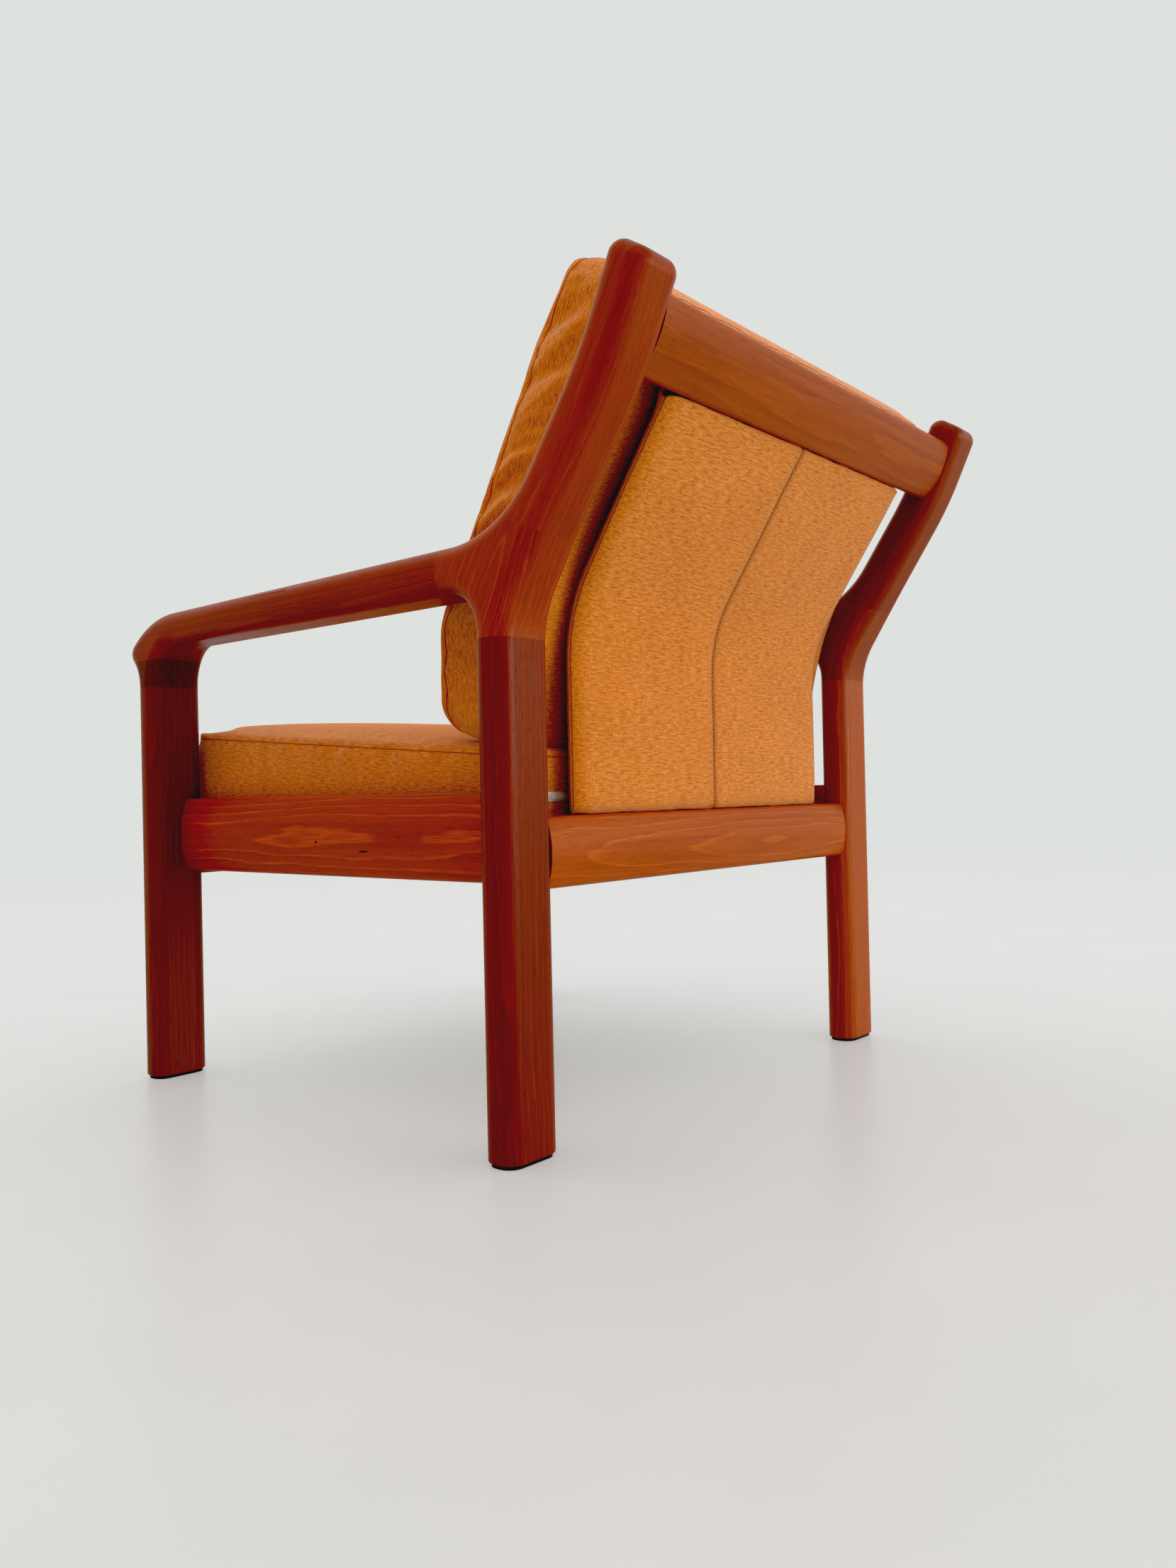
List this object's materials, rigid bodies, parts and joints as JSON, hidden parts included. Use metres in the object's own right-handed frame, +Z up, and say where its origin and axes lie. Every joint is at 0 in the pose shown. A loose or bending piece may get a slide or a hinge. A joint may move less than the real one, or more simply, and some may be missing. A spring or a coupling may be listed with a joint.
{
  "type": "lounge armchair",
  "caption": "Low wooden lounge armchair with sculpted open arms, leaning back posts, a bent upholstered back panel and loose boxed seat and back cushions.",
  "frame": {"origin": "floor level under the middle of the chair's outline", "axes": "+Z up; the sitter faces -Y; +X is the sitter's left"},
  "size_m": [0.7314, 0.816, 0.8553],
  "materials": {
    "teak": "oiled reddish-brown teak",
    "dowel_wood": "plain beech",
    "panel_board": "bent plywood",
    "glide_plastic": "matte dark plastic",
    "nail_steel": "zinc-plated steel",
    "webbing_rubber": "tan rubberised webbing",
    "orange_cloth": "woven ochre wool upholstery",
    "lining_cloth": "black lining cloth",
    "foam": "cream foam",
    "zip_tape": "nylon coil zip on woven tape",
    "slider_brass": "dull brass"
  },
  "bodies": {
    "frame": {"arm_dowels": "dowel_wood", "back_panel_board": "panel_board", "back_panel_cover": "orange_cloth", "back_panel_lining": "lining_cloth", "crest_dowels": "dowel_wood", "crest_rail": "teak", "foot_glides": "glide_plastic", "front_rail": "teak", "glide_nails": "nail_steel", "left_arm_block": "teak", "left_armrest": "teak", "left_back_junction": "teak", "left_back_post": "teak", "left_front_leg": "teak", "left_rear_leg": "teak", "left_side_rail": "teak", "panel_dowels": "dowel_wood", "rail_dowels": "dowel_wood", "rear_rail": "teak", "right_arm_block": "teak", "right_armrest": "teak", "right_back_junction": "teak", "right_back_post": "teak", "right_front_leg": "teak", "right_rear_leg": "teak", "right_side_rail": "teak", "seat_webbing": "webbing_rubber", "webbing_clips": "nail_steel"},
    "seat_cushion": {"seat_foam": "foam", "seat_cover": "orange_cloth", "seat_zip": "zip_tape"},
    "zip_slider": {"seat_zip_slider": "slider_brass"},
    "back_cushion": {"back_foam": "foam", "back_cover": "orange_cloth"}
  },
  "joints": [
    {"name": "seat_cushion_slide", "type": "slide", "parent": "frame", "child": "seat_cushion", "axis": [0, -0.9971, 0.0767], "range_m": [0, 0.62]},
    {"name": "back_cushion_lift", "type": "slide", "parent": "frame", "child": "back_cushion", "axis": [0, 0, 1], "range_m": [0, 0.45]},
    {"name": "zip_slider_travel", "type": "slide", "parent": "seat_cushion", "child": "zip_slider", "axis": [1, 0, 0], "range_m": [0, 0.495]}
  ]
}
